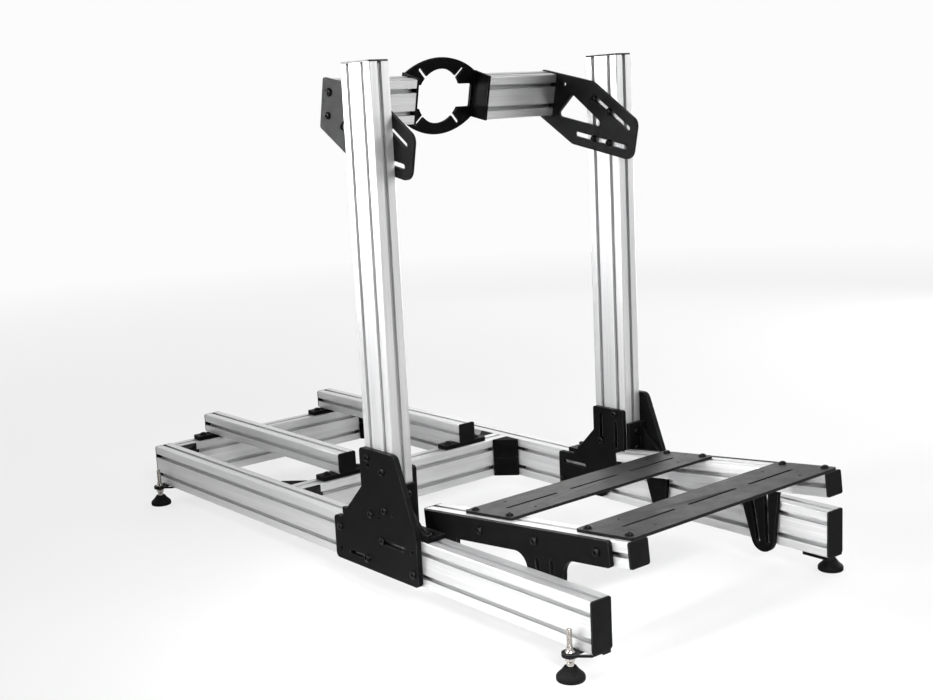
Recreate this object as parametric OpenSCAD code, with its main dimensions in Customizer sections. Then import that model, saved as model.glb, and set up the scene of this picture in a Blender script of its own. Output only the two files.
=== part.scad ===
// Open aluminium rig frame for a racing simulator: side rails, cross members, seat rails,
// uprights with a wheel beam, and a tilted pedal deck on four levelling feet.
// Millimetres. +X points to the pedals, +Z is up, the floor is Z = 0, centred on X and Y.

/* [Profiles] */
// Side of one square profile module
prof = 40; // [30:1:50]
// Opening of a T-slot
slot_open = 8.2; // [6:0.1:10]
// Thickness of the lips beside a T-slot
slot_lip = 4.5; // [3:0.1:6]
// Width of a T-slot behind its lips
slot_in = 20; // [14:0.5:22]
// Full depth of a T-slot
slot_deep = 12.3; // [9:0.1:14]
// Radius of the long edges of a profile
prof_edge_r = 2.2; // [0.5:0.1:4]
// Bore along the middle of a profile core
core_bore = 6.8; // [4:0.1:8]
// Wall between a corner cell and the outside of a profile
cell_wall = 2.2; // [1.5:0.1:3]
// Thickness of the black end caps
cap_t = 3; // [2:0.5:6]

/* [Side rails] */
// Length of a side rail with both end caps
rail_len = 1340; // [1100:5:1600]
// Overall width across the two side rails
frame_w = 600; // [480:5:720]
// Height of the rail underside over the floor
rail_lift = 42; // [36:1:60]

/* [Cross members and seat rails] */
// Front face of the middle cross member, back from the front ends of the rails
cross_back = 807; // [700:5:900]
// Leg of the black corner gussets
gusset_leg = 38; // [25:1:38]
// Gap between the two stacked corner gussets
gusset_gap = 1; // [0.5:0.5:6]
// Distance of a seat rail centre from the middle
seat_y = 153; // [110:1:190]
// Thickness of the plates under the seat rails
spacer_t = 9; // [5:0.5:15]
// Length of the plates under the seat rails
spacer_len = 108; // [90:1:120]
// Width of the plates under the seat rails
spacer_w = 30; // [24:1:38]

/* [Uprights] */
// Rear face of the uprights, back from the front ends of the rails
upright_back = 535; // [480:5:600]
// Length of an upright with its cap
upright_len = 780; // [700:5:900]
// Thickness of the plates on the outer faces
outer_plate_t = 10; // [5:0.5:12]
// Thickness of the plates on the inner faces
inner_plate_t = 8; // [5:0.5:10]
// Height of the outer plate over the rail top
outer_plate_h = 138; // [120:1:160]
// Length of the foot of the outer plate along the rail
outer_plate_len = 238; // [225:1:260]
// Length of the foot of the inner plate along the rail
inner_plate_len = 181; // [165:1:195]
// Height of the inner plate over the rail top
inner_plate_h = 108; // [95:1:130]
// Height of the base angles over the rail top
angle_h = 82; // [60:1:90]
// Length of the base angles along the rail
angle_len = 82; // [70:1:90]
// Thickness of the base angles
angle_t = 8; // [5:0.5:10]
// Thickness of the side rib of a base angle
angle_rib = 8; // [4:0.5:10]

/* [Wheel beam] */
// Nose-down tilt of the wheel beam
beam_tilt = 12.3; // [0:0.1:18]
// Lower rear edge of the beam behind the rear face of the uprights
beam_back = 127; // [110:1:140]
// Lower rear edge of the beam under the top of the uprights
beam_drop = 99; // [90:1:140]
// Thickness of the beam side plates
bracket_t = 6; // [5:0.5:10]
// Length of the beam side plates, rear edge to front edge
bracket_len = 261.5; // [250:0.5:270]
// Width across the ring mount
mount_w = 173; // [165:1:185]
// Thickness of the ring mount
mount_t = 5; // [4:0.5:8]
// Opening in the ring mount
ring_bore = 100; // [80:1:106]
// Height of the ring plate over its two arcs
ring_h = 141; // [136:1:160]
// Rise of the side walls of the ring mount towards the ring plate
ring_rise = 4; // [0:0.5:8]
// Width of the four ring slots
ring_slot_w = 6; // [4:0.5:8]
// Reach of the four ring slots from the ring centre
ring_slot_r = 73; // [64:1:76]

/* [Pedal deck] */
// Tilt of the pedal deck, front end up
deck_tilt = 5.7; // [0:0.1:9]
// Front end of the deck rails ahead of the side rails
deck_over = 33; // [15:1:60]
// Lower front edge of the deck rails over the floor
deck_z = 165; // [160:1:190]
// Length of a deck rail with both end caps
deck_len = 472; // [455:1:500]
// Thickness of the deck side plates
side_plate_t = 8; // [4:0.5:10]
// Length of the deck side plates
side_plate_len = 428; // [400:1:440]
// Middle of the long tongue, back from the deck front
tongue_back = 173; // [150:1:190]
// Reach of the long tongue under the deck rails
tongue_h = 123; // [100:1:124]
// Radius of the end of the long tongue
tongue_r = 24; // [18:1:28]
// Width of the long tongue where it leaves the deck rail
tongue_w = 80; // [64:1:90]
// Distance between the two slots of the long tongue at the deck rail
tongue_slot_gap = 33; // [28:1:38]
// Reach of the two slots of the long tongue
tongue_slot_h = 108; // [70:1:108]
// Middle of the short tongue, back from the deck front
short_tongue_back = 410; // [380:1:420]
// Reach of the short tongue under the deck rails
short_tongue_h = 84; // [60:1:100]
// Radius of the end of the short tongue
short_tongue_r = 14; // [10:1:18]
// Width of the short tongue where it leaves the deck rail
short_tongue_w = 58; // [46:1:64]
// Thickness of the pedal plates
pedal_t = 5; // [3:0.5:8]
// Width of a pedal plate along the deck
pedal_w = 116; // [90:1:130]
// Gap from the inner face of a side rail to the end of a pedal plate
pedal_gap = 17; // [10:1:30]
// Centre of the rear pedal plate, back from the deck front
pedal_rear = 316; // [260:1:340]
// Length of the three slots in a pedal plate
pedal_slot_len = 115; // [80:1:125]
// Width of the three slots in a pedal plate
pedal_slot_w = 7; // [5:0.5:10]
// Pitch of the three slots in a pedal plate
pedal_slot_pitch = 145; // [134:1:150]

/* [Feet] */
// Foot centre from the end of the rail
foot_in = 33; // [28:1:50]
// Foot centre outside the rail face
foot_out = 13.6; // [12:0.1:30]
// Thickness of the foot brackets
foot_bracket_t = 6; // [4:0.5:8]
// Diameter of the rubber feet
foot_d = 43; // [36:1:50]
// Height of the rubber feet
foot_h = 21; // [16:1:24]
// Diameter of the threaded studs
stud_d = 8; // [6:1:12]
// Height of the stud ends over the rail underside
stud_up = 36; // [20:1:60]

/* [Hidden] */
$fn = 64;
hair = 0.03;

overall_len = rail_len + deck_over;
rear_x = -overall_len / 2;
front_x = rear_x + rail_len;
deck_x = front_x + deck_over;
rail_top = rail_lift + 2 * prof;
rail_out = frame_w / 2;
rail_in = rail_out - prof;
cross_x = front_x - cross_back;
seat_z = rail_top + spacer_t;
seat_len = cross_x - rear_x;
up_x = front_x - upright_back;
up_z = rail_top;
beam_z = rail_top + upright_len - beam_drop;
bracket_in = rail_in - bracket_t;
deck_out = rail_in - side_plate_t;
pedal_len = 2 * (rail_in - pedal_gap);
pedal_bolt_y = deck_out - prof / 2;
alu = [0.78, 0.79, 0.80];
black = [0.08, 0.08, 0.085];
plastic = [0.05, 0.05, 0.05];
nickel = [0.75, 0.72, 0.68];

function unit(v) = v / norm(v);
function half_turn(p, c, n) = acos(unit(p - c) * unit(n - c)) / 2;
function tip_in(p, c, n, r) = c + unit(p - c) * r / tan(half_turn(p, c, n));
function tip_out(p, c, n, r) = c + unit(n - c) * r / tan(half_turn(p, c, n));
function tip_mid(p, c, n, r) =
    c + unit(unit(p - c) + unit(n - c)) * r / sin(half_turn(p, c, n));

// A flat outline whose listed corners are rounded; radius 0 leaves a corner sharp.
// Each corner is cut straight and filled by a disc a hair smaller than the fillet.
module rounded_outline(pts, rads) {
    n = len(pts);
    polygon([for (i = [0 : n - 1])
        let (p = pts[(i + n - 1) % n], c = pts[i], q = pts[(i + 1) % n])
        each (rads[i] > 0 ? [tip_in(p, c, q, rads[i]), tip_out(p, c, q, rads[i])] : [c])]);
    for (i = [0 : n - 1])
        if (rads[i] > 0)
            translate(tip_mid(pts[(i + n - 1) % n], pts[i], pts[(i + 1) % n], rads[i]))
                circle(r = rads[i] - hair);
}

module rounded_box(w, h, r) {
    rounded_outline([[-w / 2, -h / 2], [w / 2, -h / 2], [w / 2, h / 2], [-w / 2, h / 2]],
        [r, r, r, r]);
}

// A slot from point a to point b, width w with round ends.
module slot_between(a, b, w) {
    d = b - a;
    translate(a) circle(d = w);
    translate(b) circle(d = w);
    translate(a) rotate(atan2(d[1], d[0])) translate([0, hair - w / 2])
        square([norm(d), w - 2 * hair]);
}

// Section of one T-slot, opening upwards at y = 0.
module t_slot() {
    o = slot_open / 2;
    s = slot_in / 2;
    b = slot_deep;
    k = s - (b - slot_lip - 2);
    polygon([[-o, 1], [-o, -slot_lip], [-s, -slot_lip], [-s, -slot_lip - 2],
        [-max(k, 2), -b], [max(k, 2), -b], [s, -slot_lip - 2], [s, -slot_lip],
        [o, -slot_lip], [o, 1]]);
}

// Section of a profile, one module wide and n modules high, standing on y = 0.
module profile(n) {
    h = n * prof;
    c = prof / 2 - cell_wall;
    e = slot_in / 2 + cell_wall;
    difference() {
        translate([0, h / 2]) rounded_box(prof, h, prof_edge_r);
        translate([0, h]) t_slot();
        rotate(180) t_slot();
        for (i = [0 : n - 1], s = [-90, 90])
            translate([s < 0 ? prof / 2 : -prof / 2, (i + 0.5) * prof]) rotate(s) t_slot();
        for (i = [0 : n - 1]) translate([0, (i + 0.5) * prof]) circle(d = core_bore);
        for (x = [-1, 1], y = [0, 1])
            translate([x * (c + e) / 2, y * h + (1 - 2 * y) * (prof / 2 - (c + e) / 2)])
                square([c - e, c - e], center = true);
        if (n > 1) translate([0, prof])
            polygon([[-c, -7.5], [-12, -7.5], [-6, -13.5], [6, -13.5], [12, -7.5], [c, -7.5],
                [c, 7.5], [12, 7.5], [6, 13.5], [-6, 13.5], [-12, 7.5], [-c, 7.5]]);
    }
}

module bar_x(n, l) {
    rotate([90, 0, 90]) linear_extrude(l) profile(n);
}

module bar_y(n, l) {
    translate([0, l / 2, 0]) rotate([90, 0, 0]) linear_extrude(l) profile(n);
}

module bar_z(n, l) {
    rotate([0, 0, -90]) linear_extrude(l) profile(n);
}

// End cap with its length along X, same section as a profile n modules high.
module cap_x(n) {
    rotate([90, 0, 90]) linear_extrude(cap_t)
        translate([0, n * prof / 2]) rounded_box(prof, n * prof, 4);
}

// A plate standing in the XZ plane, front face on y = 0, thickness towards -y.
module wall_plate(t) {
    rotate([90, 0, 0]) linear_extrude(t) children();
}

module left() {
    mirror([0, 1, 0]) children();
}

module rail() {
    translate([rear_x + cap_t, -rail_out + prof / 2, rail_lift]) bar_x(2, rail_len - 2 * cap_t);
}

module rail_right() {
    color(alu) rail();
}

module rail_left() {
    color(alu) left() rail();
}

module rail_caps() {
    color(plastic) for (y = [-1, 1], x = [rear_x, front_x - cap_t])
        translate([x, y * (rail_out - prof / 2), rail_lift]) cap_x(2);
}

module cross_rear() {
    color(alu) translate([rear_x + prof / 2, 0, rail_lift]) bar_y(2, 2 * rail_in);
}

module cross_middle() {
    color(alu) translate([cross_x - prof / 2, 0, rail_lift]) bar_y(2, 2 * rail_in);
}

// Cast corner gusset: two walls and two ribs, right angle at the origin.
module gusset() {
    l = gusset_leg;
    h = prof - gusset_gap;
    difference() {
        linear_extrude(h) polygon([[0, 0], [l, 0], [l, 3], [3, l], [0, l]]);
        translate([5, 5, 4]) linear_extrude(h - 8) polygon([[0, 0], [l, 0], [0, l]]);
    }
}

module gusset_pair(x, sx, sy) {
    for (i = [0, 1])
        translate([x, sy * rail_in, rail_lift + i * prof + gusset_gap / 2])
            scale([sx, -sy, 1]) gusset();
}

module corner_gussets() {
    color(black) for (y = [-1, 1]) {
        gusset_pair(rear_x + prof, 1, y);
        gusset_pair(cross_x - prof, -1, y);
        gusset_pair(cross_x, 1, y);
    }
}

module seat_rail() {
    translate([rear_x + cap_t, -seat_y, seat_z]) bar_x(1, seat_len - 2 * cap_t);
}

module seat_rail_right() {
    color(alu) seat_rail();
}

module seat_rail_left() {
    color(alu) left() seat_rail();
}

module seat_rail_caps() {
    color(plastic) for (y = [-1, 1], x = [rear_x, cross_x - cap_t])
        translate([x, y * seat_y, seat_z]) cap_x(1);
}

module spacer() {
    difference() {
        linear_extrude(spacer_t) rounded_box(spacer_w, spacer_len, 3);
        for (s = [-1, 1]) translate([0, s * (spacer_len + prof) / 4, -1])
            cylinder(d = 8.5, h = spacer_t + 2);
    }
}

module seat_spacers() {
    color(black) for (y = [-1, 1], x = [rear_x + prof / 2, cross_x - prof / 2])
        translate([x, y * seat_y, rail_top]) spacer();
}

module upright() {
    translate([up_x, -rail_out + prof / 2, up_z]) bar_z(2, upright_len - cap_t);
}

module upright_right() {
    color(alu) upright();
}

module upright_left() {
    color(alu) left() upright();
}

module upright_caps() {
    color(plastic) for (y = [-1, 1])
        translate([up_x + prof, y * (rail_out - prof / 2), up_z + upright_len - cap_t])
            linear_extrude(cap_t) rounded_box(2 * prof, prof, 4);
}

// Outer plate: origin on the rear face of the upright at the rail top.
module outer_outline() {
    h = outer_plate_h;
    b = -2 * prof + 1;
    rear = 145 - outer_plate_len;
    rounded_outline([[rear, b], [145, b], [145, 5], [95, h], [-3, h], [-3, 67], [-70, 0],
        [rear, 0]], [8, 8, 10, 14, 7, 0, 0, 8]);
}

module outer_plate() {
    p = prof / 2;
    translate([up_x, -rail_out, up_z]) wall_plate(outer_plate_t) difference() {
        outer_outline();
        slot_between([-45, -3 * p], [9, -3 * p], slot_open);
        slot_between([52, -p], [108, -p], slot_open);
        for (q = [[-75, -p], [-77, -3 * p], [132, -p], [132, -3 * p], [p, outer_plate_h - 15],
                [p, outer_plate_h - 29], [3 * p, 105], [p, 23], [3 * p, 37]])
            translate(q) circle(d = 8.5);
        for (q = [[43, 21], [82, 34]]) translate(q) circle(d = 6);
    }
}

module outer_plate_right() {
    color(black) outer_plate();
}

module outer_plate_left() {
    color(black) left() outer_plate();
}

// Inner plate: same origin as the outer plate, on the inner faces.
module inner_plate() {
    p = prof / 2;
    h = inner_plate_h;
    b = -2 * prof + 5;
    front = 2 * prof;
    rear = front - inner_plate_len;
    translate([up_x, -rail_in + inner_plate_t, up_z]) wall_plate(inner_plate_t) difference() {
        rounded_outline([[rear, b], [p, b], [front, -p / 2], [front, h], [0, h], [0, 3 * p],
            [-3 * p, 0], [rear, 0]], [8, 14, 10, 5, 5, 0, 0, 6]);
        slot_between([rear + 0.8 * p, -p], [rear + 3.6 * p, -p], slot_open);
        slot_between([p, 2.35 * p], [p, h - 0.8 * p], slot_open);
        slot_between([3 * p, 1.7 * p], [3 * p, h - 1.3 * p], slot_open);
        for (q = [[rear + 0.6 * p, -3 * p], [-p, -3 * p], [p, -3 * p], [2.85 * p, h - p / 2]])
            translate(q) circle(d = 8.5);
    }
}

module inner_plate_right() {
    color(black) inner_plate();
}

module inner_plate_left() {
    color(black) left() inner_plate();
}

// Base angle with its corner at the origin, legs along +x and +z, width along y, and a
// rib on its outer side.
module base_angle() {
    t = angle_t;
    l = angle_len;
    h = angle_h;
    e = 1.6 * t;
    w = prof - 2;
    difference() {
        rotate([90, 0, 0]) translate([0, 0, -w / 2]) union() {
            linear_extrude(w)
                polygon([[0, 0], [l, 0], [l, t], [t + 5, t], [t, t + 5], [t, h], [0, h]]);
            translate([0, 0, w - angle_rib]) linear_extrude(angle_rib)
                polygon([[0, 0], [l, 0], [l, e], [l - e, e], [e, h - e], [e, h], [0, h]]);
        }
        for (x = [0.37 * l, 0.8 * l]) translate([x, 0, -1]) cylinder(d = 8.5, h = t + 2);
        for (z = [0.39 * h, 0.8 * h])
            translate([-1, 0, z]) rotate([0, 90, 0]) cylinder(d = 8.5, h = t + 2);
    }
}

module base_angles() {
    y = -rail_out + prof / 2;
    translate([up_x + 2 * prof, y, up_z]) base_angle();
    translate([up_x, y, up_z]) scale([-1, 1, 1]) base_angle();
}

module base_angles_right() {
    color(black) base_angles();
}

module base_angles_left() {
    color(black) left() base_angles();
}

// Frame of the wheel beam: origin on its lower rear edge, x forwards along the beam depth.
module on_beam() {
    translate([up_x - beam_back, 0, beam_z]) rotate([0, beam_tilt, 0]) children();
}

module beam_stub() {
    l = bracket_in - mount_w / 2;
    on_beam() translate([prof / 2, -bracket_in + l / 2, 0]) bar_y(2, l);
}

module beam_stub_right() {
    color(alu) beam_stub();
}

module beam_stub_left() {
    color(alu) left() beam_stub();
}

module beam_bracket() {
    f = bracket_len - 1.5;
    h = 2 * prof + 2.5;
    on_beam() translate([0, -bracket_in, 0]) wall_plate(bracket_t) difference() {
        rounded_outline([[-1.5, -4], [103, -42.5], [f, -42.5], [f, 31], [134, h], [-1.5, h]],
            [5, 20, 18, 18, 18, 5]);
        rounded_outline([[52, 3], [190, 3], [88, 50]], [6, 6, 8]);
        slot_between([150, 52], [240, 14], slot_open + 0.8);
        slot_between([111, -21.5], [238, -21.5], slot_open + 0.8);
        for (z = [0.5, 1.5]) translate([prof / 2, z * prof]) circle(d = 8.5);
        translate([63.5, 65]) circle(d = 8.5);
    }
}

module beam_bracket_right() {
    color(black) beam_bracket();
}

module beam_bracket_left() {
    color(black) left() beam_bracket();
}

// Ring plate outline: two wide arcs meeting the side walls, seen along the steering axis.
module ring_outline() {
    w = mount_w / 2;
    n = prof + 1;
    k = ring_h / 2;
    a = w - mount_t - 1;
    translate([-w, -n]) square([2 * w, 2 * n + ring_rise]);
    for (s = [-1, 1]) {
        m = s > 0 ? n + ring_rise : n;
        r = (a * a + (k - m) * (k - m)) / (2 * (k - m));
        intersection() {
            translate([0, s * (k - r)]) circle(r = r, $fn = 128);
            translate([-a, s > 0 ? 0 : -k - 1]) square([2 * a, k + 1]);
        }
    }
}

module ring_mount() {
    w = mount_w / 2;
    n = prof + 1;
    l = prof + mount_t;
    color(black) on_beam() translate([-mount_t, 0, prof]) difference() {
        union() {
            rotate([90, 0, 90]) linear_extrude(mount_t) ring_outline();
            for (s = [-1, 1]) translate([0, s > 0 ? w : mount_t - w, 0]) wall_plate(mount_t)
                polygon([[0, -n], [l, -n], [l, n], [0, n + ring_rise]]);
        }
        translate([-1, 0, 0]) rotate([90, 0, 90]) linear_extrude(mount_t + 2) union() {
            circle(d = ring_bore);
            rounded_box(2 * (w - mount_t - 7), 1.08 * prof, 3);
            for (a = [45 : 90 : 315]) rotate(a)
                slot_between([0, 0], [ring_slot_r - ring_slot_w / 2, 0], ring_slot_w);
        }
    }
}

// Frame of the pedal deck: origin on the lower front edge of the deck rails.
module on_deck() {
    translate([deck_x, 0, deck_z]) rotate([0, -deck_tilt, 0]) children();
}

module deck_rail() {
    on_deck() translate([-deck_len + cap_t, -deck_out + prof / 2, 0])
        bar_x(1, deck_len - 2 * cap_t);
}

module deck_rail_right() {
    color(alu) deck_rail();
}

module deck_rail_left() {
    color(alu) left() deck_rail();
}

module deck_rail_caps() {
    color(plastic) on_deck() for (y = [-1, 1], x = [-deck_len, -cap_t])
        translate([x, y * (deck_out - prof / 2), 0]) cap_x(1);
}

// One tongue with a round end, its middle on x = 0, hanging from y = 0.
module tongue(w, h, r) {
    t = h - r;
    k = (w / 2 - r) / t;
    c = 1 / sqrt(1 + k * k);
    polygon([[-w / 2, 1], [-w / 2, 0], [-r * c, -t - k * c * r], [r * c, -t - k * c * r],
        [w / 2, 0], [w / 2, 1]]);
    translate([0, -t]) circle(r = r - hair);
}

// Outline of a deck side plate: a bar as high as the deck rail with two tongues under it.
module side_plate_outline() {
    l = side_plate_len;
    f = 26;
    w = tongue_w / 2;
    translate([-33 - l / 2, prof / 2]) rounded_box(l, prof, 5);
    translate([-tongue_back, 0]) difference() {
        union() {
            translate([0, -f]) tongue(tongue_w, tongue_h - f, tongue_r);
            translate([-w - f, -f]) square([2 * (w + f), f + 1]);
        }
        for (s = [-1, 1]) translate([s * (w + f), -f]) circle(r = f);
    }
    translate([-short_tongue_back, 0])
        tongue(short_tongue_w, short_tongue_h, short_tongue_r);
}

module side_plate() {
    g = tongue_slot_gap / 2;
    on_deck() translate([0, -deck_out, 0]) wall_plate(side_plate_t) difference() {
        side_plate_outline();
        for (s = [-1, 1]) translate([-tongue_back, 0])
            slot_between([s * g, -slot_open], [s * 0.6 * g, slot_open / 2 - tongue_slot_h],
                slot_open);
    }
}

module deck_side_plate_right() {
    color(black) side_plate();
}

module deck_side_plate_left() {
    color(black) left() side_plate();
}

module pedal_plate() {
    difference() {
        linear_extrude(pedal_t) difference() {
            rounded_box(pedal_w, pedal_len, 6);
            for (i = [-1 : 1]) translate([0, i * pedal_slot_pitch]) {
                e = (pedal_slot_len - pedal_slot_w) / 2;
                slot_between([0, -e], [0, e], pedal_slot_w);
            }
            for (x = [-37, 37], y = [-1, 1]) translate([x, y * (pedal_len / 2 - 71)])
                circle(d = 5.5);
            for (x = [-42, 42], y = [-1, 1]) translate([x, y * pedal_bolt_y]) circle(d = 8.5);
        }
    }
}

module pedal_plate_rear() {
    color(black) on_deck() translate([-pedal_rear, 0, prof]) pedal_plate();
}

module pedal_plate_front() {
    color(black) on_deck() translate([-pedal_w / 2, 0, prof]) pedal_plate();
}

// Places children at the four feet; x points away from the rail end, y outwards.
module at_feet() {
    for (sy = [-1, 1], sx = [-1, 1])
        translate([sx > 0 ? front_x : rear_x, sy * rail_out, 0]) scale([-sx, sy, 1]) children();
}

module foot_bracket() {
    r = 12;
    translate([0, 0, rail_lift - foot_bracket_t]) linear_extrude(foot_bracket_t) difference() {
        union() {
            polygon([[1, -prof + 2], [66, -prof + 2], [66, -3], [foot_in + 8.4, foot_out + 8.6],
                [foot_in - 8.4, foot_out + 8.6], [1, -3]]);
            translate([foot_in, foot_out]) circle(r = r);
        }
        translate([foot_in, foot_out]) circle(d = stud_d);
        polygon([[9, 0.5], [foot_in - 9, 0.5], [foot_in - 9, foot_out - 2]]);
        polygon([[foot_in + 9, 0.5], [58, 0.5], [foot_in + 9, foot_out - 2]]);
    }
}

module foot_brackets() {
    color(black) at_feet() foot_bracket();
}

// A stud with a thicker shank where it stands in the rubber foot.
module foot_stud() {
    translate([0, 0, foot_h - 6]) cylinder(d = stud_d, h = rail_lift + stud_up - foot_h + 6);
    translate([0, 0, foot_h - 6]) cylinder(d = 1.4 * stud_d,
        h = rail_lift - foot_bracket_t - 5 - foot_h + 6);
}

module foot_studs() {
    color(nickel) at_feet() translate([foot_in, foot_out, 0]) foot_stud();
}

module hex_nut(z, h) {
    translate([foot_in, foot_out, z]) difference() {
        cylinder(d = 1.95 * stud_d, h = h, $fn = 6);
        translate([0, 0, -1]) cylinder(d = stud_d, h = h + 2);
    }
}

module foot_nuts() {
    color(nickel) at_feet() {
        hex_nut(rail_lift, 6);
        hex_nut(rail_lift - foot_bracket_t - 5, 5);
    }
}

module foot_pad() {
    translate([foot_in, foot_out, 0]) rotate_extrude() difference() {
        polygon([[0, 0], [foot_d / 2 - 1.5, 0], [foot_d / 2, 1.5], [foot_d / 2, 0.33 * foot_h],
            [foot_d / 2 - 2, 0.5 * foot_h], [1.1 * stud_d, foot_h], [0, foot_h]]);
        translate([-1, foot_h - 6]) square([1 + 0.7 * stud_d, 7]);
    }
}

module foot_pads() {
    color(plastic) at_feet() foot_pad();
}

rail_right();
rail_left();
rail_caps();
cross_rear();
cross_middle();
corner_gussets();
seat_rail_right();
seat_rail_left();
seat_rail_caps();
seat_spacers();
upright_right();
upright_left();
upright_caps();
outer_plate_right();
outer_plate_left();
inner_plate_right();
inner_plate_left();
base_angles_right();
base_angles_left();
beam_stub_right();
beam_stub_left();
beam_bracket_right();
beam_bracket_left();
ring_mount();
deck_rail_right();
deck_rail_left();
deck_rail_caps();
deck_side_plate_right();
deck_side_plate_left();
pedal_plate_rear();
pedal_plate_front();
foot_brackets();
foot_studs();
foot_nuts();
foot_pads();
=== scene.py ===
"""Racing rig frame: looks for the slotted aluminium profiles, coated plates, bolts and feet."""
from math import cos, pi, radians, sin, sqrt

import bpy
from mathutils import Matrix, Vector
from mathutils.geometry import tessellate_polygon


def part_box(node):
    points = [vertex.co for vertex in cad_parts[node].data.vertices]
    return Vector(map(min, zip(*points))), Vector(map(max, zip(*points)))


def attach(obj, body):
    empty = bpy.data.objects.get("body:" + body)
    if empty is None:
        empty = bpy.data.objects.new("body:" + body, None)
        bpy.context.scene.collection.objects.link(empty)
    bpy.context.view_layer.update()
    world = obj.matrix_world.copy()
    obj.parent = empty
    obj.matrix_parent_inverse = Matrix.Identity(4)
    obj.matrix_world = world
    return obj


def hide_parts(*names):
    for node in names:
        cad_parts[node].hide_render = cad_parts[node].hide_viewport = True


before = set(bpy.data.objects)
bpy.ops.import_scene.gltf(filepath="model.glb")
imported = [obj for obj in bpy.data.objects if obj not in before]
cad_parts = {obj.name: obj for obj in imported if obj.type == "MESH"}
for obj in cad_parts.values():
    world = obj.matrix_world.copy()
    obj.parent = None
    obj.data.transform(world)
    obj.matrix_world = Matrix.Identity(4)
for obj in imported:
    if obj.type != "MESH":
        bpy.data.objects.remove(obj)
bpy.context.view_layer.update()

MM = 0.001
JOIN_WITHIN = 0.001 * MM    # vertices this close are one

# ---------------------------------------------------------------- places on the frame


def low(name):
    """The lower corner of a CAD node's box."""
    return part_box(name)[0]


def high(name):
    """The upper corner of a CAD node's box."""
    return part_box(name)[1]


RAIL_TOP = high("rail_right").z
RAIL_UNDER = low("rail_right").z
RAIL_OUTER = -low("rail_right").y
RAIL_INNER = -high("rail_right").y
PROFILE = RAIL_OUTER - RAIL_INNER
UPRIGHT_REAR = low("upright_right").x
OUTER_FACE = -low("outer_plate_right").y
INNER_FACE = -high("inner_plate_right").y
DECK_PLATE_OUTER = -low("deck_side_plate_right").y
BEAM_PLATE_OUTER = -low("beam_bracket_right").y
BEAM_PLATE_INNER = -high("beam_bracket_right").y

BEAM_TILT = radians(12.3)
BEAM_ORIGIN = Vector((-8.5, 0, 803)) * MM
DECK_TILT = radians(5.7)
DECK_ORIGIN = Vector((686.5, 0, 165)) * MM

WORLD = Matrix.Identity(4)
MIRROR = Matrix.Scale(-1, 4, Vector((0, 1, 0)))    # swaps right and left
BEAM = Matrix.Translation(BEAM_ORIGIN) @ Matrix.Rotation(BEAM_TILT, 4, "Y")
DECK = Matrix.Translation(DECK_ORIGIN) @ Matrix.Rotation(-DECK_TILT, 4, "Y")
SIDE_PLATES = Matrix.Translation((UPRIGHT_REAR, 0, RAIL_TOP))

UP = Vector((0, 0, 1))
RIGHT = Vector((0, -1, 0))
FORWARD = Vector((1, 0, 0))

# ---------------------------------------------------------------- camera, as the photo was taken

PHOTO_W, PHOTO_H = 933, 700
FOCAL_PX = 1317.52
CENTRE_PX = (424.13, 350.81)
SENSOR = 36.0      # millimetres across
CAMERA_AT = (1.91768, -1.55182, 0.81995)
CAMERA_YAW, CAMERA_PITCH, CAMERA_ROLL = 0.91223, radians(10.369), radians(-3.157)
VIEW_DEPTH = 60    # metres


def make_camera():
    """A camera that stands, turns and crops as the photograph's did."""
    yaw, pitch, roll = CAMERA_YAW, CAMERA_PITCH, CAMERA_ROLL
    look = Vector((-sin(yaw) * cos(pitch), cos(yaw) * cos(pitch), -sin(pitch)))
    across = Vector((cos(yaw), sin(yaw), 0))
    rise = across.cross(look)
    side = cos(roll) * across + sin(roll) * rise
    top = cos(roll) * rise - sin(roll) * across
    data = bpy.data.cameras.new("photo_camera")
    data.sensor_width = SENSOR
    data.lens = FOCAL_PX * SENSOR / PHOTO_W
    data.shift_x = (PHOTO_W / 2 - CENTRE_PX[0]) / PHOTO_W
    data.shift_y = (CENTRE_PX[1] - PHOTO_H / 2) / PHOTO_W
    data.clip_end = VIEW_DEPTH
    camera = bpy.data.objects.new("photo_camera", data)
    bpy.context.scene.collection.objects.link(camera)
    turn = Matrix((side, top, -look)).transposed().to_4x4()
    camera.matrix_world = Matrix.Translation(CAMERA_AT) @ turn
    bpy.context.scene.camera = camera


# ---------------------------------------------------------------- studio light and floor

BACKDROP = 0.97                    # what the camera sees behind the frame
BRIGHT_SIDE = (-0.72, 0.66, 0.2)   # the way to the bright wall that the metal reflects
BRIGHT_SPREAD = (-0.1, 0.9)        # from where the wall's light begins to its brightest
BRIGHT_POWER = 1.12
PAPER_HALF = 9.0
PAPER_FADE = (1.4, 5.0)            # where the paper turns into backdrop, in metres
PAPER_SHADE, PAPER_GLOW = 0.27, 0.665
PAPER_TONES = (0.88, 0.90)

MIDDLE, UPRIGHT = (0.1, -0.05, 0.4), (0.15, -0.28, 0.85)
RAIL_END, RAIL_END_TOP = (0.55, -0.3, 0.12), (0.45, -0.28, 0.12)
BRACKET_BACK = (0.0, -0.33, 0.85)
WIDE, SQUARE, SMALL, TINY = (1.5, 1.0), (1.0, 1.0), (0.8, 0.8), (0.5, 0.5)

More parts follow.
